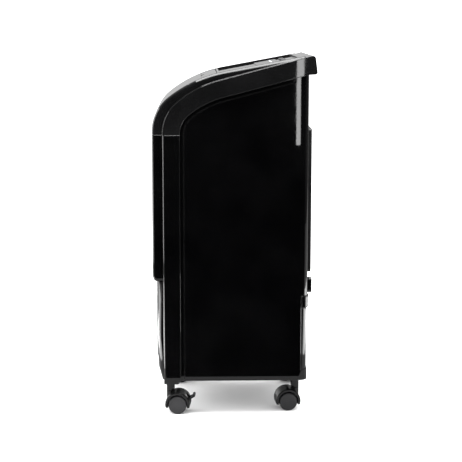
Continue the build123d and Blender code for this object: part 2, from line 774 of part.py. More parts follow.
# ---------------------------------------------------------------- pump, impeller, bracket, riser
water_pump = block((pump_left, pump_front, pump_bottom), (pump_right, pump_rear, pump_top))
water_pump = fillet(water_pump.edges().filter_by(Axis.Z), pump_corner)
water_pump += rod_z(pipe_radius + nozzle_wall, pump_top - 1, pump_top + nozzle_height, pipe_x, pipe_y)
volute_top = pump_bottom + impeller_height + 2 * impeller_play
water_pump -= rod_z(impeller_radius + impeller_play, 0, volute_top, impeller_x, impeller_y)
shaft_top = volute_top + pump_shaft_length
water_pump -= rod_z(pump_shaft_radius + running_fit, 0, shaft_top + 1, impeller_x, impeller_y)
water_pump -= rod_z(pipe_radius + press_fit, pump_top - pipe_socket, tall, pipe_x, pipe_y)
impeller_low = pump_bottom + impeller_play
impeller_high = impeller_low + impeller_height
pump_impeller = rod_z(impeller_radius, impeller_high - impeller_disc, impeller_high, impeller_x, impeller_y)
impeller_blade = Pos(impeller_radius / 2, 0, impeller_low + impeller_height / 2)
impeller_blade = impeller_blade * Box(impeller_radius - 0.6, impeller_disc, impeller_height)
impeller_centre = Pos(impeller_x, impeller_y, 0)
blade_turns = [360 / impeller_blades * i for i in range(impeller_blades)]
pump_impeller += [impeller_centre * Rot(0, 0, turn) * impeller_blade for turn in blade_turns]
pump_impeller += rod_z(pump_shaft_radius, impeller_low, shaft_top, impeller_x, impeller_y)
post_left = pump_left + 1
post_right = post_left + bracket_post
bracket_front = pump_front + bracket_setback
bracket_rear = pump_rear - bracket_setback - 1
pump_bracket = block((post_left, bracket_front, pump_top), (post_right, bracket_rear, deck_bottom))
pump_bracket += block(
    (post_left - bracket_flange, bracket_front, deck_bottom - bracket_thickness),
    (post_right, bracket_rear, deck_bottom),
)
pump_bracket += block(
    (post_left, bracket_front, pump_top),
    (post_left + bracket_flange, bracket_rear, pump_top + bracket_thickness),
)
riser_pipe = rod_z(pipe_radius, pump_top - pipe_socket, trough_bottom + 4, pipe_x, pipe_y)
riser_pipe -= rod_z(pipe_radius - pipe_wall, 0, tall, pipe_x, pipe_y)

# ---------------------------------------------------------------- rear intake: frame, mesh, pad, trough
intake_filter = block(
    (-filter_half_width, filter_seat, filter_bottom), (filter_half_width, filter_rear, filter_top)
)
intake_filter = fillet(intake_filter.edges().filter_by(Axis.Y), filter_corner)
intake_filter = fillet(intake_filter.edges().group_by(Axis.Y)[-1], filter_edge_round)
grille_half = filter_half_width - filter_border
grille_low = filter_bottom + filter_border
grille_high = filter_top - filter_border
slot_pitch = (grille_high - grille_low + slat_height) / (slat_count + 1)
column_width = (2 * grille_half - (slot_columns - 1) * column_bar) / slot_columns
slots = []
for i in range(slat_count + 1):
    low = grille_low + i * slot_pitch
    for x in fan_out(slot_columns, column_width + column_bar):
        high = low + slot_pitch - slat_height
        slots.append(block((x - column_width / 2, -far, low), (x + column_width / 2, far, high)))
intake_filter -= slots
plug_half = intake_half_width - filter_plug_gap
plug_low = intake_bottom + filter_plug_gap
plug_high = intake_top - filter_plug_gap
plug = block((-plug_half, filter_plug_front, plug_low), (plug_half, filter_seat + 0.5, plug_high))
plug -= block(
    (-plug_half + filter_plug_wall, -far, plug_low + filter_plug_wall),
    (plug_half - filter_plug_wall, far, plug_high - filter_plug_wall),
)
intake_filter += plug
mesh_half = plug_half - filter_plug_wall - fit_gap
mesh_low = plug_low + filter_plug_wall + fit_gap
mesh_high = plug_high - filter_plug_wall - fit_gap
filter_mesh = block((-mesh_half, filter_seat - mesh_thickness, mesh_low), (mesh_half, filter_seat, mesh_high))
cooling_pad = block(
    (-plug_half, pad_front, plug_low), (plug_half, filter_plug_front, plug_high)
)
trough_half_width = shell_half_width - shell_corner - 0.5
trough_low = (-trough_half_width, trough_front, trough_bottom)
water_trough = block(trough_low, (trough_half_width, base_rear, trough_top))
water_trough -= block(
    (-trough_half_width + trough_side, trough_front + 1, trough_bottom + trough_side),
    (trough_half_width - trough_side, base_rear - trough_side, tall),
)
for x in fan_out(drip_count, drip_spacing):
    water_trough -= rod_z(drip_radius, 0, tall, x, pad_front + 8)
water_trough -= rod_z(pipe_radius + press_fit, 0, tall, pipe_x, pipe_y)

# ---------------------------------------------------------------- tank latch and cord gland
straight = latch_half_length - latch_radius
latch_low = (latch_x - latch_radius, latch_front, latch_height - straight)
tank_latch = block(latch_low, (latch_x + latch_radius, latch_rear, latch_height + straight))
tank_latch += rod_y(latch_radius, latch_front, latch_rear, latch_x, latch_height - straight)
tank_latch += rod_y(latch_radius, latch_front, latch_rear, latch_x, latch_height + straight)
tank_latch = fillet(tank_latch.edges().group_by(Axis.Y)[-1], latch_round)
for z in fan_out(latch_groove_count, latch_groove_pitch):
    groove_low = latch_height + z - latch_groove_width / 2
    groove_high = groove_low + latch_groove_width
    tank_latch -= block((-far, latch_rear - latch_groove, groove_low), (far, far, groove_high))
wall_inside = shell_rear - shell_wall
nut_front = wall_inside - 1 - spindle_nut_length
tank_latch += rod_y(spindle_radius, nut_front - 1, latch_front + 1, latch_x, latch_height)
tank_latch += rod_y(spindle_nut_radius, nut_front, wall_inside - 1, latch_x, latch_height)
cord_gland = rod_y(gland_radius, shell_rear, shell_rear + gland_stand, gland_x, gland_height)
cord_gland = fillet(cord_gland.edges().group_by(Axis.Y)[-1], latch_round)
cord_gland += rod_y(gland_neck, wall_inside - gland_nut_length, shell_rear + 1, gland_x, gland_height)
cord_gland += rod_y(gland_radius, wall_inside - gland_nut_length, wall_inside, gland_x, gland_height)
gland_face = shell_rear + gland_stand
cord_gland -= rod_y(gland_bore, 0, far, gland_x, gland_height)
cord_gland -= rod_y(gland_passage, 0, gland_face - gland_grip, gland_x, gland_height)

# ---------------------------------------------------------------- control panel in the crown
panel_half_width = crown_half_width - skin - fit_gap
control_panel = crown_slab(window_front - 2, window_rear + 4, panel_half_width, panel_top, panel_bottom)
button_places = fan_out(button_count, button_pitch)
normal_lean = Rot(crown_slope, 0, 0)


def on_crown(x, y, depth):
    """A frame at a depth under the crown's slope, with Z along its normal."""
    spot = crown_spot(y, depth)
    return Pos(x, spot[1], spot[2]) * normal_lean


cap_top = panel_top - button_stand
cap_bottom = panel_bottom + button_depth
flange_top = panel_bottom + button_rest_gap
buttons = []
for x in button_places:
    cap_depth = (cap_top + cap_bottom) / 2
    hole = on_crown(x, button_row, panel_top) * Box(button_length, button_width, 4 * skin)
    control_panel -= hole
    cap = on_crown(x, button_row, cap_depth) * Box(
        button_length - 2 * button_gap, button_width - 2 * button_gap, cap_bottom - cap_top
    )
    flange_depth = (flange_top + cap_bottom) / 2
    flange = on_crown(x, button_row, flange_depth) * Box(
        button_length + 2 * button_flange, button_width + 2 * button_flange, cap_bottom - flange_top
    )
    buttons.append(cap + flange)
glass_half_width = panel_half_width - glass_margin
control_glass = crown_slab(glass_front, glass_rear, glass_half_width, panel_top - glass_thickness, panel_top)
board_rear = button_row + button_length
board_under = board_depth + board_thickness
control_board = crown_slab(glass_front, board_rear, board_half_width, board_depth, board_under)
post_middle = (panel_bottom + board_depth) / 2
for x in (board_post_inset - board_half_width, board_half_width - board_post_inset):
    for y in (glass_front + board_post_inset, board_rear - board_post_inset):
        post = Cylinder(board_post_radius, board_depth - panel_bottom)
        control_board += on_crown(x, y, post_middle) * post

# ---------------------------------------------------------------- screws
screw_hole = screw_radius + press_fit
back_screws = [(x, z) for x in (-back_screw_x, back_screw_x) for z in back_screw_heights]
base_screws = [(x, y) for x in (-base_screw_x, base_screw_x) for y in base_screw_places]
case_screws = []
screw = rod_z(screw_head, 0, head_height, 0, 0)
screw = fillet(screw.edges().group_by(Axis.Z)[-1], head_round)
screw += rod_z(screw_radius, -screw_length, 0.5, 0, 0)
for long, wide in ((cross_half_length, cross_half_width), (cross_half_width, cross_half_length)):
    screw -= block((-long, -wide, head_height - head_round), (long, wide, tall))
for x, z in back_screws:
    case_screws.append(Pos(x, shell_rear, z) * Rot(-90, 0, 0) * screw)
    body_shell -= rod_y(screw_hole, shell_rear - 8, far, x, z)
for x, y in base_screws:
    case_screws.append(Pos(x, y, shell_foot) * Rot(180, 0, 0) * screw)
    base_tray -= rod_z(screw_hole, 0, base_top + 1, x, y)

# ---------------------------------------------------------------- casters
wheel_axis = (caster_trail, wheel_radius)


def place_caster(part, stem, heading):
    """Turn a caster part, drawn trailing along +X, to its heading under its stem."""
    return Pos(stem[0], stem[1], 0) * Rot(0, 0, heading) * part


def caster_fork(braked):
    """Hood with its central web, neck and swivel stem."""
    half = caster_hood_half_width
    hood = rod_y(caster_hood_radius, -half, half, caster_trail, caster_hood_height)
    hood = fillet(hood.edges().filter_by(GeomType.CIRCLE), caster_edge_round)
    hood += rod_z(boss_radius, caster_hood_height, caster_hood_height + caster_hood_radius, 0, 0)
    hood -= rod_y(caster_hood_inner, -far, far, caster_trail, caster_hood_height)
    hood -= block((-far, -far, -far), (far, far, caster_skirt))
    web = rod_y(caster_hood_inner + 1, -web_half_width, web_half_width, caster_trail, caster_hood_height)
    web -= block((-far, -far, -far), (far, far, caster_skirt - 2))
    hood += web
    hood += rod_z(stem_radius, caster_hood_height + caster_hood_radius - stem_grip, base_top - 1, 0, 0)
    hood -= rod_y(axle_radius + press_fit, -far, far, *wheel_axis)
    if braked:
        window_half = pedal_half_width + 0.4
        outer = caster_trail + caster_hood_inner - stem_grip + 2
        window_top = caster_hood_height + pedal_window_rise
        hood -= block((outer, -window_half, wheel_radius), (far, window_half, window_top))
        hood += block((outer, -web_half_width, caster_skirt), (outer + 2, web_half_width, pedal_z - 5))
        hole_reach = pedal_pin_reach + fit_gap
        hood -= rod_y(pedal_pin_radius + running_fit, -hole_reach, hole_reach, pedal_x, pedal_z)
    return hood


pedal_orbit = (caster_hood_radius + caster_hood_inner) / 2 + 0.1
pedal_x = caster_trail + pedal_orbit * math.cos(math.radians(pedal_angle))
pedal_z = caster_hood_height + pedal_orbit * math.sin(math.radians(pedal_angle))
pedal_pin_reach = pedal_half_width + pedal_pin_grip


def caster_wheels():
    """The two wheels of one caster, with bores closed by their outer faces."""
    pair = []
    for side in (-1, 1):
        ends = sorted((side * wheel_inner, side * wheel_outer))
        wheel = rod_y(wheel_radius, ends[0], ends[1], *wheel_axis)
        wheel = fillet(wheel.edges().filter_by(GeomType.CIRCLE), wheel_edge_round)
        face = side * (wheel_outer - wheel_dish)
        dish = sorted((face, side * (wheel_outer + 1)))
        wheel -= rod_y(wheel_radius - wheel_rim, dish[0], dish[1], *wheel_axis)
        bore = sorted((0, side * (wheel_outer - wheel_cap)))
        wheel -= rod_y(axle_radius + running_fit, bore[0], bore[1], *wheel_axis)
        pair.append(wheel)
    return Compound(children=pair)


def caster_axle():
    return rod_y(axle_radius, wheel_edge_round - wheel_outer, wheel_outer - wheel_edge_round, *wheel_axis)


def caster_brake():
    """Foot pedal on its cross pin, rising outwards from the hood."""
    lever = Pos(pedal_reach / 2, 0, 0) * Box(pedal_reach, 2 * pedal_half_width, pedal_thickness)
    lever += Pos(pedal_reach - 1, 0, 1.0) * Rot(90, 0, 0) * Cylinder(pedal_tip, 2 * pedal_half_width)
    lever += Rot(90, 0, 0) * Cylinder(pedal_barrel, 2 * pedal_half_width)
    lever = Rot(0, -pedal_rise, 0) * lever
    lever += Rot(90, 0, 0) * Cylinder(pedal_pin_radius, 2 * pedal_pin_reach)
    return Pos(pedal_x, 0, pedal_z) * lever


casters = [
    ("front_left", (front_stem[0], front_stem[1]), front_left_heading, True),
    ("front_right", (-front_stem[0], front_stem[1]), front_right_heading, True),
    ("rear_left", (rear_stem[0], rear_stem[1]), rear_left_heading, False),
    ("rear_right", (-rear_stem[0], rear_stem[1]), rear_right_heading, False),
]

# ---------------------------------------------------------------- one file for each node
nodes = {
    "front_frame": front_frame,
    "top_hood": top_hood,
    "fill_lid": fill_lid,
    "body_shell": body_shell,
    "base_tray": base_tray,
    "outlet_frame": outlet_frame,
    "louvre_link": louvre_link,
    "lower_panel": lower_panel,
    "level_window": level_window,
    "blower_housing": blower_housing,
    "vane_link": vane_link,
    "swing_motor": swing_motor,
    "blower_drum": blower_drum,
    "blower_shaft": blower_shaft,
    "bearing_bush": bearing_bush,
    "blower_motor": blower_motor,
    "deck": deck,
    "water_tank": water_tank,
    "water_pump": water_pump,
    "pump_impeller": pump_impeller,
    "pump_bracket": pump_bracket,
    "riser_pipe": riser_pipe,
    "intake_filter": intake_filter,
    "filter_mesh": filter_mesh,
    "cooling_pad": cooling_pad,
    "water_trough": water_trough,
    "tank_latch": tank_latch,
    "cord_gland": cord_gland,
    "control_panel": control_panel,
    "control_glass": control_glass,
    "control_board": control_board,
    "case_screws": Compound(children=case_screws),
}
for i, slat in enumerate(louvres, 1):
    nodes[f"louvre_{i}"] = slat
for i, slat in enumerate(vanes, 1):
    nodes[f"vane_{i}"] = slat
for i, cap in enumerate(buttons, 1):
    nodes[f"button_{i}"] = cap
for name, stem, heading, braked in casters:
    nodes[f"caster_fork_{name}"] = place_caster(caster_fork(braked), stem, heading)
    nodes[f"caster_wheels_{name}"] = place_caster(caster_wheels(), stem, heading)
    nodes[f"caster_axle_{name}"] = place_caster(caster_axle(), stem, heading)
    if braked:
        nodes[f"caster_brake_{name}"] = place_caster(caster_brake(), stem, heading)

for name, shape in nodes.items():
    export_step(shape, f"parts/{name}.step")
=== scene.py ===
import math

import bmesh
import bpy
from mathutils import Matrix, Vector


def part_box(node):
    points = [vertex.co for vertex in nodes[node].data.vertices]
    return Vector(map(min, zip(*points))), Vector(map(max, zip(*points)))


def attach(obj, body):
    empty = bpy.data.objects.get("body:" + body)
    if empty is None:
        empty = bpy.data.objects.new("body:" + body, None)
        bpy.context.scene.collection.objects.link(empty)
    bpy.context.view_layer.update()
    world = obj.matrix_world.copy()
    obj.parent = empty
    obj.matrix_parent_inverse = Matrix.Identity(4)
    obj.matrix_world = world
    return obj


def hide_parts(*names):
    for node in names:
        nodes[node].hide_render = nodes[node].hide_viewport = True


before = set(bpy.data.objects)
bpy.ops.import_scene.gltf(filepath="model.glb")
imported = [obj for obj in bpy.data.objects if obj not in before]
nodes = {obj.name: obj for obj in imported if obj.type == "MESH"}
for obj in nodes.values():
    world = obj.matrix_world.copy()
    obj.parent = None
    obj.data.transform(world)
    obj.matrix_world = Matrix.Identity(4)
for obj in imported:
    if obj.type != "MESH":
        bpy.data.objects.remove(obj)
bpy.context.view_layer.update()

# ------------------------------------------------------------ body shell and base tray
# The shell is one wrap of gloss-black ABS round the sides and the back. The tray that closes
# it from below is the same plastic, screwed up into the shell and moulded with the four
# sockets for the casters.
gloss_roughness = (0.012, 0.03)
gloss_black = ((0.0005, 0.0005, 0.0006), (0.0012, 0.0012, 0.0013))
gloss_grain = (420.0, 0.0000015)  # noise scale, depth in metres
cloud_scale = 14.0
smudge_scale = 38.0
bevel_samples = 4
edge_mask_from, edge_mask_to = 0.995, 0.90  # how far a softened normal has turned from its face
shell_edge = 0.0025
noise_low, noise_high = 0.3, 0.7  # where a noise's values mostly lie
grain_strength = 0.6


def new_material(name):
    """A material with one shader joined to its output."""
    material = bpy.data.materials.new(name)
    material.use_nodes = True
    tree = material.node_tree
    tree.nodes.clear()
    output = tree.nodes.new("ShaderNodeOutputMaterial")
    shader = tree.nodes.new("ShaderNodeBsdfPrincipled")
    tree.links.new(shader.outputs["BSDF"], output.inputs["Surface"])
    return material, tree, shader


def object_noise(tree, scale, detail=3.0, roughness=0.5, stretch=(1, 1, 1)):
    """Noise on the piece's own coordinates, in metres, stretched along an axis if asked."""
    place = tree.nodes.new("ShaderNodeTexCoord")
    turn = tree.nodes.new("ShaderNodeMapping")
    turn.inputs["Scale"].default_value = stretch
    noise = tree.nodes.new("ShaderNodeTexNoise")
    noise.inputs["Scale"].default_value = scale
    noise.inputs["Detail"].default_value = detail
    noise.inputs["Roughness"].default_value = roughness
    tree.links.new(place.outputs["Object"], turn.inputs["Vector"])
    tree.links.new(turn.outputs["Vector"], noise.inputs["Vector"])
    return noise


def ramp(tree, source, colours, low=noise_low, high=noise_high):
    """Blends between two colours as the source goes from low to high."""
    band = tree.nodes.new("ShaderNodeValToRGB")
    for stop, place, colour in zip(band.color_ramp.elements, (low, high), colours):
        stop.position = place
        stop.color = (*colour, 1)
    tree.links.new(source, band.inputs["Fac"])
    return band.outputs["Color"]


def spread(tree, source, low, high):
    """Turns a noise into a number between low and high."""
    stretch = tree.nodes.new("ShaderNodeMapRange")
    stretch.inputs["From Min"].default_value = noise_low
    stretch.inputs["From Max"].default_value = noise_high
    stretch.inputs["To Min"].default_value = low
    stretch.inputs["To Max"].default_value = high
    tree.links.new(source, stretch.inputs["Value"])
    return stretch.outputs["Result"]


def moulded(name, colours, roughness, grain, rounding=0.0007, edge_lift=0.02):
    """Moulded plastic: cloudy colour, uneven gloss, fine grain, soft edges that turn lighter in
    patches.
    """
    material, tree, shader = new_material(name)
    grain_scale, grain_depth = grain
    cloud = object_noise(tree, cloud_scale)
    smudge = object_noise(tree, smudge_scale, 5.0, 0.6)
    skin = object_noise(tree, grain_scale, 2.0)
    soft = tree.nodes.new("ShaderNodeBevel")
    soft.samples = bevel_samples
    soft.inputs["Radius"].default_value = rounding
    bump = tree.nodes.new("ShaderNodeBump")
    bump.inputs["Strength"].default_value = grain_strength
    bump.inputs["Distance"].default_value = grain_depth
    tree.links.new(skin.outputs["Fac"], bump.inputs["Height"])
    tree.links.new(soft.outputs["Normal"], bump.inputs["Normal"])
    tree.links.new(bump.outputs["Normal"], shader.inputs["Normal"])
    # Along the softened edges the colour turns lighter, in patches after the smudge noise.
    face = tree.nodes.new("ShaderNodeNewGeometry")
    turn = tree.nodes.new("ShaderNodeVectorMath")
    turn.operation = "DOT_PRODUCT"
    tree.links.new(soft.outputs["Normal"], turn.inputs[0])
    tree.links.new(face.outputs["True Normal"], turn.inputs[1])
    edge = tree.nodes.new("ShaderNodeMapRange")
    edge.inputs["From Min"].default_value = edge_mask_from
    edge.inputs["From Max"].default_value = edge_mask_to
    tree.links.new(turn.outputs["Value"], edge.inputs["Value"])
    edge_patches = tree.nodes.new("ShaderNodeMath")
    edge_patches.operation = "MULTIPLY"
    tree.links.new(edge.outputs["Result"], edge_patches.inputs[0])
    tree.links.new(smudge.outputs["Fac"], edge_patches.inputs[1])
    mix = tree.nodes.new("ShaderNodeMix")
    mix.data_type = "RGBA"
    mix.inputs[7].default_value = (*[c + edge_lift for c in colours[1]], 1)
    tree.links.new(edge_patches.outputs["Value"], mix.inputs[0])
    tree.links.new(ramp(tree, cloud.outputs["Fac"], colours, 0.35, 0.65), mix.inputs[6])
    tree.links.new(mix.outputs[2], shader.inputs["Base Color"])
    tree.links.new(spread(tree, smudge.outputs["Fac"], *roughness), shader.inputs["Roughness"])
    return material


def dress(material, *names):
    """Gives CAD nodes a material in place of the plain one that they came with."""
    for name in names:
        mesh = nodes[name].data
        mesh.materials.clear()
        mesh.materials.append(material)


shell_gloss = moulded("shell_gloss_abs", gloss_black, gloss_roughness, gloss_grain, shell_edge)
gloss = moulded("gloss_black_abs", gloss_black, gloss_roughness, gloss_grain)
dress(shell_gloss, "body_shell")
dress(gloss, "base_tray")

# ------------------------------------------------------------ front frame and outlet
# The front frame carries the two side bands down to the foot, and the outlet frame clips into
# it. The louvres are thin satin slats that turn on their own pins, joined by one link bar.
satin_black = ((0.0040, 0.0040, 0.0042), (0.0080, 0.0080, 0.0082))
satin_grain = (900.0, 0.00003)
frame_edge = 0.0018
frame_gloss = moulded("frame_gloss_abs", gloss_black, gloss_roughness, gloss_grain, frame_edge)
satin = moulded("matte_black_abs", satin_black, (0.28, 0.42), satin_grain)
dress(frame_gloss, "front_frame", "outlet_frame")
dress(satin, *[f"louvre_{i}" for i in range(1, 6)], "louvre_link")

# ------------------------------------------------------------ lower panel
# A hollow gloss panel below the outlet. Its two upright corners are bowed back to the frame,
# so it is made again here from the flat panel, cut into narrow columns and bent.
corner_width = 0.026
corner_depth = 0.86  # how much of the panel's own depth the corner falls back
corner_columns = 14
first_column = 0.001  # a hair on, so that the first cut misses the flat's own corners
weld_distance = 1e-6


def finished(name, mesh, material, body, smooth_angle=0.6):
    """A piece at the origin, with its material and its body."""
    piece = bpy.data.objects.new(name, mesh)
    bpy.context.scene.collection.objects.link(piece)
    mesh.materials.clear()
    mesh.materials.append(material)
    mesh.shade_smooth()
    mesh.set_sharp_from_angle(angle=smooth_angle)
    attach(piece, body)
    return piece


low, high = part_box("lower_panel")
work = bmesh.new()
work.from_mesh(nodes["lower_panel"].data)
bmesh.ops.remove_doubles(work, verts=work.verts, dist=weld_distance)
for side in (-1, 1):
    for column in range(corner_columns):
        part = math.sin(0.5 * math.pi * (column + first_column) / corner_columns)
        cut = side * (high.x - corner_width * (1 - part))
        bmesh.ops.bisect_plane(
            work, geom=work.verts[:] + work.edges[:] + work.faces[:],
            plane_co=(cut, 0, 0), plane_no=(1, 0, 0),
        )
for vertex in work.verts:
    part = max(0.0, 1 - (high.x - abs(vertex.co.x)) / corner_width)
    fall = corner_depth * (1 - math.sqrt(1 - min(part, 1.0) ** 2))
    vertex.co.y = high.y + (vertex.co.y - high.y) * (1 - fall)
panel_mesh = bpy.data.meshes.new("lower_panel_bowed")
work.to_mesh(panel_mesh)
work.free()
bowed = finished("lower_panel_bowed", panel_mesh, frame_gloss, "cabinet")
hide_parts("lower_panel")

# ------------------------------------------------------------ level window and its marks
# A long clear window in the lower panel shows the water in the tank. Beside it, five short
# marks are moulded on the panel, with no lettering.
mark_count = 5
mark_size = (0.0050, 0.0006, 0.0012)
mark_gap = 0.0035
mark_inset = 0.012  # from the window's ends to the first and last mark
window_haze = 60.0
window_clear = 0.6
ripple_strength, ripple_depth = 0.4, 0.00002


def clear_plastic(name, colours, roughness, transmission, scale):
    """Clear or dark see-through plastic: hazy in places, with a faint ripple."""
    material, tree, shader = new_material(name)
    haze = object_noise(tree, scale)
    ripple = object_noise(tree, 3 * scale)
    bump = tree.nodes.new("ShaderNodeBump")
    bump.inputs["Strength"].default_value = ripple_strength
    bump.inputs["Distance"].default_value = ripple_depth
    tree.links.new(ripple.outputs["Fac"], bump.inputs["Height"])
    tree.links.new(bump.outputs["Normal"], shader.inputs["Normal"])
    tree.links.new(ramp(tree, haze.outputs["Fac"], colours), shader.inputs["Base Color"])
    tree.links.new(spread(tree, haze.outputs["Fac"], *roughness), shader.inputs["Roughness"])
    shader.inputs["Transmission Weight"].default_value = transmission
    return material, shader


def tree_of_sizes(name, **sizes):
    """A geometry tree with one named input for each size, and its input and output nodes."""
    tree = bpy.data.node_groups.new(name, "GeometryNodeTree")
    tree.interface.new_socket("Geometry", in_out="OUTPUT", socket_type="NodeSocketGeometry")
    kinds = {float: "NodeSocketFloat", int: "NodeSocketInt", tuple: "NodeSocketVector"}
    for label, value in sizes.items():
        tree.interface.new_socket(label, in_out="INPUT", socket_type=kinds[type(value)])
    return tree, tree.nodes.new("NodeGroupInput"), tree.nodes.new("NodeGroupOutput")


def node(tree, kind, links=None, **settings):
    """One geometry node: its settings by name, and its inputs from values or other sockets."""
    made = tree.nodes.new(kind)
    for label, value in settings.items():
        setattr(made, label, value)
    for label, value in (links or {}).items():
        if isinstance(value, bpy.types.NodeSocket):
            tree.links.new(value, made.inputs[label])
        else:
            made.inputs[label].default_value = value
    return made


def close_tree(tree, last, output, material):
    """Ends a tree in Realize Instances and Set Material."""
    real = node(tree, "GeometryNodeRealizeInstances", {"Geometry": last})
    dyed = node(tree, "GeometryNodeSetMaterial", {"Geometry": real.outputs[0]})
    dyed.inputs["Material"].default_value = material
    tree.links.new(dyed.outputs[0], output.inputs[0])


def grown(name, tree, **sizes):
    """The plain mesh that a tree gives with these sizes."""
    seed = bpy.data.objects.new(name, bpy.data.meshes.new(name))
    bpy.context.scene.collection.objects.link(seed)
    modifier = seed.modifiers.new("grow", "NODES")
    modifier.node_group = tree
    for socket in tree.interface.items_tree:
        if socket.in_out == "INPUT":
            modifier[socket.identifier] = sizes[socket.name]
    seen = seed.evaluated_get(bpy.context.evaluated_depsgraph_get())
    mesh = bpy.data.meshes.new_from_object(seen)
    seed.modifiers.remove(modifier)
    bpy.data.objects.remove(seed)
    return mesh


def row_of(name, material, shape, **sizes):
    """Instances of one shape in a straight row, from Start, Step by Step."""
    tree, given, output = tree_of_sizes(name, **sizes)
    line = node(tree, "GeometryNodeMeshLine", {
        "Count": given.outputs["Count"],
        "Start Location": given.outputs["Start"],
        "Offset": given.outputs["Step"],
    })
    points = node(tree, "GeometryNodeInstanceOnPoints", {
        "Points": line.outputs[0], "Instance": shape(tree, given),
    })
    close_tree(tree, points.outputs[0], output, material)
    return grown(name, tree, **sizes)


window_black = ((0.02, 0.025, 0.03), (0.04, 0.05, 0.06))
window, _ = clear_plastic(
    "clear_window", window_black, (0.03, 0.09), window_clear, window_haze
)
dress(window, "level_window")
key_grey = ((0.020, 0.020, 0.022), (0.032, 0.032, 0.035))
keys = moulded("button_grey", key_grey, (0.25, 0.4), satin_grain)
low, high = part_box("level_window")
marks = row_of(
    "level_marks", keys,
    lambda tree, given: node(
        tree, "GeometryNodeMeshCube", {"Size": given.outputs["Size"]}
    ).outputs["Mesh"],
    Count=mark_count,
    Start=(low.x - mark_gap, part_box("lower_panel")[0].y, low.z + mark_inset),
    Step=(0.0, 0.0, (high.z - low.z - 2 * mark_inset) / (mark_count - 1)),
    Size=mark_size,
)
finished("level_marks", marks, keys, "cabinet")

# ------------------------------------------------------------ blower
# A satin housing carries the motor and a finned drum on a steel shaft in a brass bush. Four
# upright vanes in its mouth swing together on one link, driven by a small geared motor.
dress(satin, "blower_housing", "vane_link", "blower_drum", "swing_motor")
dress(satin, *[f"vane_{i}" for i in range(1, 5)])
line_strength, line_depth = 0.3, 0.00002


def bare_metal(name, colours, roughness, scale, stretch=(1, 1, 1)):
    """Turned or drawn metal: fine lines along one axis, in the colour, gloss and surface."""
    material, tree, shader = new_material(name)
    lines = object_noise(tree, scale, 4.0, 0.6, stretch)
    bump = tree.nodes.new("ShaderNodeBump")
    bump.inputs["Strength"].default_value = line_strength
    bump.inputs["Distance"].default_value = line_depth
    tree.links.new(lines.outputs["Fac"], bump.inputs["Height"])
    tree.links.new(bump.outputs["Normal"], shader.inputs["Normal"])
    tree.links.new(ramp(tree, lines.outputs["Fac"], colours), shader.inputs["Base Color"])
    tree.links.new(spread(tree, lines.outputs["Fac"], *roughness), shader.inputs["Roughness"])
    shader.inputs["Metallic"].default_value = 1.0
    return material


steel_grey = ((0.42, 0.42, 0.41), (0.62, 0.62, 0.60))
steel = bare_metal("steel", steel_grey, (0.22, 0.40), 180.0, (0.1, 1, 1))
dress(steel, "blower_shaft", "case_screws")
bush_yellow = ((0.50, 0.33, 0.12), (0.68, 0.48, 0.20))
dress(bare_metal("brass_bush", bush_yellow, (0.25, 0.45), 240.0), "bearing_bush")
motor_grey = ((0.030, 0.032, 0.035), (0.050, 0.052, 0.055))
dress(moulded("motor_paint", motor_grey, (0.35, 0.5), (400.0, 0.00005)), "blower_motor")

# ------------------------------------------------------------ deck, tank and pump
# The deck divides the blower from the tank, a gloss drawer that slides out at the back. The
# pump hangs from the deck into the water and feeds a clear riser to the trough on the pad.
pump_black = moulded("pump_plastic", satin_black, (0.4, 0.55), (700.0, 0.00005))
dress(satin, "deck", "water_trough")
dress(pump_black, "pump_bracket", "water_pump", "pump_impeller")
dress(shell_gloss, "water_tank")
hose_white = ((0.75, 0.78, 0.78), (0.86, 0.88, 0.88))
hose_haze = 90.0
hose_clear = 0.7
hose, _ = clear_plastic("clear_hose", hose_white, (0.08, 0.2), hose_clear, hose_haze)
dress(hose, "riser_pipe")

# ------------------------------------------------------------ cooling pad
# The pad is a block of fluted paper. Waved sheets stand side by side and touch crest to
# crest, with the flutes of one sheet sloping up and those of the next sloping down.
cell_width = 0.0070
cell_height = 0.0100
flute_slope = 0.8
paper_thickness = 0.0006
paper_edge = 0.0002
# how much lighter the paper turns along its edges, in patches
paper_edge_lift = 0.05
wave_steps = 6
depth_steps = 6
sheet_weld = 0.00001
pad_crease = 1.2
pad_brown = ((0.20, 0.13, 0.065), (0.33, 0.23, 0.12))
paper_grain = (700.0, 0.0003)
paper = moulded("pad_paper", pad_brown, (0.8, 0.95), paper_grain, paper_edge, paper_edge_lift)


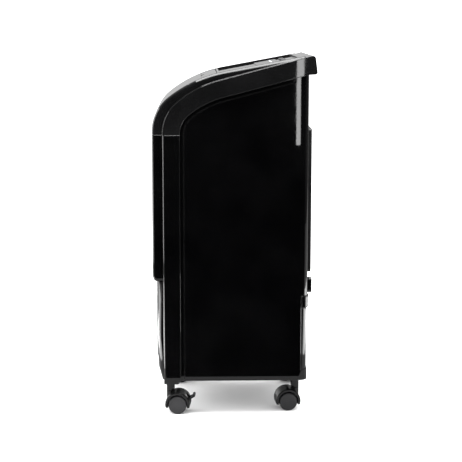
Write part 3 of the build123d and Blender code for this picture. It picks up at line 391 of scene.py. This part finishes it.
def pad_tree(material, **sizes):
    """Waved sheets in two rows of instances, the second a cell on with its flutes crossed."""
    tree, given, output = tree_of_sizes("fluted_sheets", **sizes)
    sheets = []
    for turn in (0.0, math.pi):
        grid = node(tree, "GeometryNodeMeshGrid", {
            "Size X": given.outputs["Depth"], "Size Y": given.outputs["Height"],
            "Vertices X": given.outputs["Depth steps"], "Vertices Y": given.outputs["Steps"],
        })
        here = node(tree, "GeometryNodeInputPosition")
        split = node(tree, "ShaderNodeSeparateXYZ", {"Vector": here.outputs[0]})
        lean = node(tree, "ShaderNodeMath", {
            0: split.outputs["X"], 1: given.outputs["Rise" if turn == 0 else "Fall"],
            2: split.outputs["Y"],
        }, operation="MULTIPLY_ADD")
        phase = node(tree, "ShaderNodeMath", {
            0: lean.outputs[0], 1: given.outputs["Waves"], 2: turn,
        }, operation="MULTIPLY_ADD")
        wave = node(tree, "ShaderNodeMath", {0: phase.outputs[0]}, operation="SINE")
        swing = node(tree, "ShaderNodeMath", {
            0: wave.outputs[0], 1: given.outputs["Swing"],
        }, operation="MULTIPLY")
        place = node(tree, "ShaderNodeCombineXYZ", {
            "X": swing.outputs[0], "Y": split.outputs["X"], "Z": split.outputs["Y"],
        })
        bent = node(tree, "GeometryNodeSetPosition", {
            "Geometry": grid.outputs["Mesh"], "Position": place.outputs[0],
        })
        rise = node(tree, "GeometryNodeExtrudeMesh", {
            "Mesh": bent.outputs[0], "Individual": False, "Offset Scale": 1.0,
            "Offset": given.outputs["Thick"],
        }, mode="FACES")
        under = node(tree, "GeometryNodeFlipFaces", {"Mesh": bent.outputs[0]})
        both = node(tree, "GeometryNodeJoinGeometry")
        tree.links.new(under.outputs[0], both.inputs[0])
        tree.links.new(rise.outputs["Mesh"], both.inputs[0])
        welded = node(tree, "GeometryNodeMergeByDistance", {
            "Geometry": both.outputs[0], "Distance": sheet_weld,
        })
        line = node(tree, "GeometryNodeMeshLine", {
            "Count": given.outputs["Count"],
            "Start Location": given.outputs["Start" if turn == 0 else "Second start"],
            "Offset": given.outputs["Step"],
        })
        row = node(tree, "GeometryNodeInstanceOnPoints", {
            "Points": line.outputs[0], "Instance": welded.outputs[0],
        })
        sheets.append(row.outputs[0])
    pile = node(tree, "GeometryNodeJoinGeometry")
    for sheet in sheets:
        tree.links.new(sheet, pile.inputs[0])
    close_tree(tree, pile.outputs[0], output, material)
    return grown("cooling_pad_cells", tree, **sizes)


low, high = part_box("cooling_pad")
middle = (low + high) / 2
pad_columns = int((high.x - low.x) / (2 * cell_width)) - 1
pad_start = Vector((low.x + cell_width, middle.y, middle.z))
pad_mesh = pad_tree(
    paper,
    Depth=high.y - low.y,
    Height=high.z - low.z,
    Steps=int((high.z - low.z) / cell_height * wave_steps) + 1,
    Rise=flute_slope,
    Fall=-flute_slope,
    Waves=2 * math.pi / cell_height,
    Swing=(cell_width - paper_thickness) / 2,
    Thick=(paper_thickness, 0.0, 0.0),
    Count=pad_columns + 1,
    Start=tuple(pad_start),
    Step=(2 * cell_width, 0.0, 0.0),
    **{
        "Second start": tuple(pad_start + Vector((cell_width, 0, 0))),
        "Depth steps": depth_steps,
    },
)
pad = finished("cooling_pad_cells", pad_mesh, paper, "filter", pad_crease)
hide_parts("cooling_pad")

# ------------------------------------------------------------ intake filter
# The satin frame of slats pulls off the back of the shell with the pad. A plastic net is
# welded in behind its slats, its strands passing over and under each other.
net_pitch = 0.0037
strand = 0.00026  # a strand's radius
strand_sides = 4
net_black = ((0.0060, 0.0060, 0.0065), (0.014, 0.014, 0.015))
net_grain = (1200.0, 0.00004)
net_edge = 0.0001
net_crease = 3.0  # over a half turn, so that no edge of a strand is sharp
net_plastic = moulded("filter_fabric", net_black, (0.45, 0.6), net_grain, net_edge)
dress(satin, "intake_filter")


def net_tree(material, **sizes):
    """Four rows of waved strands: upright and level, each in two rows out of step."""
    tree, given, output = tree_of_sizes("woven_net", **sizes)
    rows = []
    for way in ("Level", "Upright"):
        for turn, start in ((0.0, "start"), (math.pi, "next")):
            level = way == "Level"
            line = node(tree, "GeometryNodeMeshLine", {
                "Count": given.outputs[f"{way} steps"],
                "Start Location": given.outputs[f"{way} from"],
                "Offset": given.outputs[f"{way} stride"],
            })
            here = node(tree, "GeometryNodeInputPosition")
            split = node(tree, "ShaderNodeSeparateXYZ", {"Vector": here.outputs[0]})
            phase = node(tree, "ShaderNodeMath", {
                0: split.outputs["X" if level else "Z"], 1: given.outputs["Waves"],
                2: turn if level else turn + math.pi,
            }, operation="MULTIPLY_ADD")
            wave = node(tree, "ShaderNodeMath", {0: phase.outputs[0]}, operation="COSINE")
            swing = node(tree, "ShaderNodeMath", {
                0: wave.outputs[0], 1: given.outputs["Swing"],
            }, operation="MULTIPLY")
            shift = node(tree, "ShaderNodeCombineXYZ", {"Y": swing.outputs[0]})
            bent = node(tree, "GeometryNodeSetPosition", {
                "Geometry": line.outputs[0], "Offset": shift.outputs[0],
            })
            path = node(tree, "GeometryNodeMeshToCurve", {"Mesh": bent.outputs[0]})
            ring = node(tree, "GeometryNodeCurvePrimitiveCircle", {
                "Resolution": strand_sides, "Radius": given.outputs["Strand"],
            })
            tube = node(tree, "GeometryNodeCurveToMesh", {
                "Curve": path.outputs[0], "Profile Curve": ring.outputs["Curve"],
                "Fill Caps": True,
            })
            spots = node(tree, "GeometryNodeMeshLine", {
                "Count": given.outputs[f"{way} count"],
                "Start Location": given.outputs[f"{way} {start}"],
                "Offset": given.outputs[f"{way} gap"],
            })
            row = node(tree, "GeometryNodeInstanceOnPoints", {
                "Points": spots.outputs[0], "Instance": tube.outputs[0],
            })
            rows.append(row.outputs[0])
    pile = node(tree, "GeometryNodeJoinGeometry")
    for row in rows:
        tree.links.new(row, pile.inputs[0])
    close_tree(tree, pile.outputs[0], output, material)
    return grown("filter_net", tree, **sizes)


low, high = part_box("filter_mesh")
middle = (low + high) / 2
wide, tall = high.x - low.x, high.z - low.z
across = 2 * int(wide / net_pitch / 2)
up = 2 * int(tall / net_pitch / 2)
half_wide, half_tall = across * net_pitch / 2, up * net_pitch / 2
net_sizes = {
    "Waves": math.pi / net_pitch,
    "Swing": strand,
    "Strand": strand,
    "Level steps": across + 1,
    "Level from": (-half_wide, 0.0, 0.0),
    "Level stride": (net_pitch, 0.0, 0.0),
    "Level count": up // 2,
    "Level start": (middle.x, middle.y, middle.z - half_tall),
    "Level next": (middle.x, middle.y, middle.z - half_tall + net_pitch),
    "Level gap": (0.0, 0.0, 2 * net_pitch),
    "Upright steps": up + 1,
    "Upright from": (0.0, 0.0, -half_tall),
    "Upright stride": (0.0, 0.0, net_pitch),
    "Upright count": across // 2,
    "Upright start": (middle.x - half_wide, middle.y, middle.z),
    "Upright next": (middle.x - half_wide + net_pitch, middle.y, middle.z),
    "Upright gap": (2 * net_pitch, 0.0, 0.0),
}
net_mesh = net_tree(net_plastic, **net_sizes)
net = finished("filter_net", net_mesh, net_plastic, "filter", net_crease)
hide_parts("filter_mesh")

# ------------------------------------------------------------ tank latch and cord gland
# A ribbed gloss latch turns on the shell's back above the tank. The gland is a rubbery
# moulded bush, nutted from inside, that the mains cord passes through.
dress(gloss, "tank_latch")
dress(satin, "cord_gland")

# ------------------------------------------------------------ hood and lid
# The hood is one gloss moulding that curves over the front and clips down on the shell. The
# fill lid is hinged in its front edge.
hood_black = ((0.0030, 0.0030, 0.0031), (0.0048, 0.0048, 0.0050))
hood_gloss = moulded("hood_gloss_abs", hood_black, gloss_roughness, gloss_grain, frame_edge)
dress(hood_gloss, "top_hood", "fill_lid")

# ------------------------------------------------------------ controls
# A gloss panel sunk in the hood carries a dark glass strip and a row of five satin keys over
# the circuit board. Small indicator lamps are set in the glass and stand a little proud.
lamp_count = 6
lamp_radius = 0.0012
lamp_gap = 0.016
lamp_row = 0.72  # where the row lies, from the glass's front edge to its rear edge
lamp_sunk = 0.6  # how much of its radius a lamp's centre lies below the glass's top
glass_black = ((0.003, 0.003, 0.004), (0.006, 0.006, 0.008))
glass_haze = 50.0
lens_haze = 900.0
lamp_crease = 1.5
glass, glass_shader = clear_plastic("dark_glass", glass_black, (0.02, 0.05), 0.0, glass_haze)
glass_shader.inputs["IOR"].default_value = 1.2
dress(gloss, "control_panel")
dress(glass, "control_glass")
dress(keys, *[f"button_{i}" for i in range(1, 6)])
board_green = ((0.01, 0.06, 0.025), (0.02, 0.10, 0.04))
dress(moulded("circuit_board", board_green, (0.35, 0.5), (500.0, 0.00003)), "control_board")

near_edge = 0.002
low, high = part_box("control_glass")
side = [v.co for v in nodes["control_glass"].data.vertices if v.co.x < 0]
front_edge = max((c for c in side if c.y < low.y + near_edge), key=lambda c: c.z)
rear_edge = max((c for c in side if c.y > high.y - near_edge), key=lambda c: c.z)
lamp_place = front_edge.lerp(rear_edge, lamp_row)
lens, tree, shader = new_material("lamp_lens")
haze = object_noise(tree, lens_haze)
lens_white = ((0.35, 0.38, 0.40), (0.55, 0.58, 0.60))
tree.links.new(ramp(tree, haze.outputs["Fac"], lens_white), shader.inputs["Base Color"])
tree.links.new(spread(tree, haze.outputs["Fac"], 0.15, 0.3), shader.inputs["Roughness"])
lamps = row_of(
    "indicator_lamps", lens,
    lambda tree, given: node(tree, "GeometryNodeMeshIcoSphere", {
        "Radius": given.outputs["Radius"], "Subdivisions": 3,
    }).outputs["Mesh"],
    Count=lamp_count,
    Start=(
        -lamp_gap * (lamp_count - 1) / 2, lamp_place.y, lamp_place.z - lamp_sunk * lamp_radius
    ),
    Step=(lamp_gap, 0.0, 0.0),
    Radius=lamp_radius,
)
finished("indicator_lamps", lamps, lens, "cabinet", lamp_crease)

# ------------------------------------------------------------ casters
# Four hooded twin-wheel casters push into the tray's sockets on their own nylon stems, and
# their wheels turn on steel axles. The front two have a pedal that presses on the wheels.
casters = ("front_left", "front_right", "rear_left", "rear_right")
fork_black = ((0.0020, 0.0020, 0.0022), (0.0040, 0.0040, 0.0042))
nylon = moulded("caster_nylon", fork_black, (0.12, 0.22), (600.0, 0.00001))
wheel_grey = ((0.012, 0.012, 0.013), (0.024, 0.024, 0.026))
tyre = moulded("wheel_grey", wheel_grey, (0.45, 0.6), (800.0, 0.00006))
dress(nylon, *[f"caster_fork_{name}" for name in casters])
dress(tyre, *[f"caster_wheels_{name}" for name in casters])
dress(steel, *[f"caster_axle_{name}" for name in casters])
dress(nylon, "caster_brake_front_left", "caster_brake_front_right")

# ------------------------------------------------------------ studio
# A white floor and a white surround, with a tall soft box and a low one before the cooler, a
# low one behind it and one overhead. A narrow strip shows as a streak on the flat side.
scene = bpy.context.scene
scene.view_settings.view_transform = "Standard"
floor_left, floor_right, floor_reach = -2.4, 0.36, 2.2
floor_corners = (
    (floor_left, -floor_reach, 0), (floor_right, -floor_reach, 0),
    (floor_right, floor_reach, 0), (floor_left, floor_reach, 0),
)
floor_mesh = bpy.data.meshes.new("floor")
floor_mesh.from_pydata(floor_corners, [], [(0, 1, 2, 3)])
floor = bpy.data.objects.new("floor", floor_mesh)
scene.collection.objects.link(floor)
white, tree, shader = new_material("studio_white")
speckle = object_noise(tree, 30.0)
floor_white = ((0.92, 0.92, 0.92), (0.94, 0.94, 0.94))
floor_grey = (0.22, 0.22, 0.22, 1)  # what gloss shows of it, as if black card hid part
seen = tree.nodes.new("ShaderNodeLightPath")
tone = tree.nodes.new("ShaderNodeMix")
tone.data_type = "RGBA"
tone.inputs[7].default_value = floor_grey
tree.links.new(seen.outputs["Is Glossy Ray"], tone.inputs[0])
tree.links.new(ramp(tree, speckle.outputs["Fac"], floor_white), tone.inputs[6])
tree.links.new(tone.outputs[2], shader.inputs["Base Color"])
shader.inputs["Roughness"].default_value = 0.9
shader.inputs["Specular IOR Level"].default_value = 0.1
floor_mesh.materials.append(white)

white_strength = 2.1
gloss_dark, gloss_light = 0.004, 0.62  # what gloss shows of the surround, near and far side
near_side, far_side = 0.50, -0.10  # between these parts of the way across it turns lighter
rear_from, rear_to = 0.30, 0.75  # and between these parts of the way back darker again
rear_share = 0.2  # how much is left behind them
surround = bpy.data.worlds.new("studio")
scene.world = surround
surround.use_nodes = True
tree = surround.node_tree
tree.nodes.clear()
output = tree.nodes.new("ShaderNodeOutputWorld")
path = tree.nodes.new("ShaderNodeLightPath")
place = tree.nodes.new("ShaderNodeTexCoord")
split = tree.nodes.new("ShaderNodeSeparateXYZ")
tree.links.new(place.outputs["Generated"], split.inputs["Vector"])
behind = tree.nodes.new("ShaderNodeMapRange")
behind.interpolation_type = "SMOOTHSTEP"
behind.inputs["From Min"].default_value = near_side
behind.inputs["From Max"].default_value = far_side
behind.inputs["To Min"].default_value = gloss_dark
behind.inputs["To Max"].default_value = gloss_light
tree.links.new(split.outputs["X"], behind.inputs["Value"])
rearward = tree.nodes.new("ShaderNodeMapRange")
rearward.interpolation_type = "SMOOTHSTEP"
rearward.inputs["From Min"].default_value = rear_from
rearward.inputs["From Max"].default_value = rear_to
rearward.inputs["To Min"].default_value = 1.0
rearward.inputs["To Max"].default_value = rear_share
tree.links.new(split.outputs["Y"], rearward.inputs["Value"])
shade = tree.nodes.new("ShaderNodeMath")
shade.operation = "MULTIPLY"
tree.links.new(behind.outputs["Result"], shade.inputs[0])
tree.links.new(rearward.outputs["Result"], shade.inputs[1])
choose = tree.nodes.new("ShaderNodeMix")
choose.data_type = "FLOAT"
choose.inputs[2].default_value = white_strength
tree.links.new(path.outputs["Is Glossy Ray"], choose.inputs[0])
tree.links.new(shade.outputs["Value"], choose.inputs[3])
backdrop = tree.nodes.new("ShaderNodeBackground")
backdrop.inputs["Color"].default_value = (1, 1, 1, 1)
tree.links.new(choose.outputs[0], backdrop.inputs["Strength"])
tree.links.new(backdrop.outputs["Background"], output.inputs["Surface"])

soft_boxes = {  # place, target, width and height, watts
    "front_box": ((-0.35, -1.4, 0.62), (-0.35, 0, 0.62), (1.3, 1.2), 25.0),
    "low_front_box": ((-0.10, -0.80, 0.004), (-0.10, -0.80, 1.0), (0.7, 0.8), 13.0),
    "low_rear_box": ((-0.10, 0.82, 0.004), (-0.10, 0.82, 1.0), (0.7, 0.65), 10.0),
    "top_box": ((0.10, 0, 1.7), (0.10, 0, 0.3), (1.4, 1.2), 60.0),
    "strip_box": ((1.5, 0.2130, 0.44), (0.1225, 0.105, 0.51), (0.019, 0.242), 0.13),
}
for name, (place, target, size, power) in soft_boxes.items():
    light = bpy.data.lights.new(name, "AREA")
    light.shape = "RECTANGLE"
    light.size, light.size_y = size
    light.energy = power
    lamp = bpy.data.objects.new(name, light)
    scene.collection.objects.link(lamp)
    lamp.location = place
    toward = Vector(target) - Vector(place)
    lamp.rotation_euler = toward.to_track_quat("-Z", "Y").to_euler()
    lamp.visible_camera = False

camera_data = bpy.data.cameras.new("camera")
camera = bpy.data.objects.new("camera", camera_data)
scene.collection.objects.link(camera)
scene.camera = camera
camera_data.sensor_width = 36.0
camera_data.lens = 104.7
azimuth, pitch = math.radians(88.5), math.radians(9.0)
distance = 2.3
aim = Vector((0, -0.002, 0.290))
back = Vector((
    math.sin(azimuth) * math.cos(pitch), -math.cos(azimuth) * math.cos(pitch), math.sin(pitch)
))
camera.location = aim + distance * back
camera.rotation_euler = (-back).to_track_quat("-Z", "Y").to_euler()
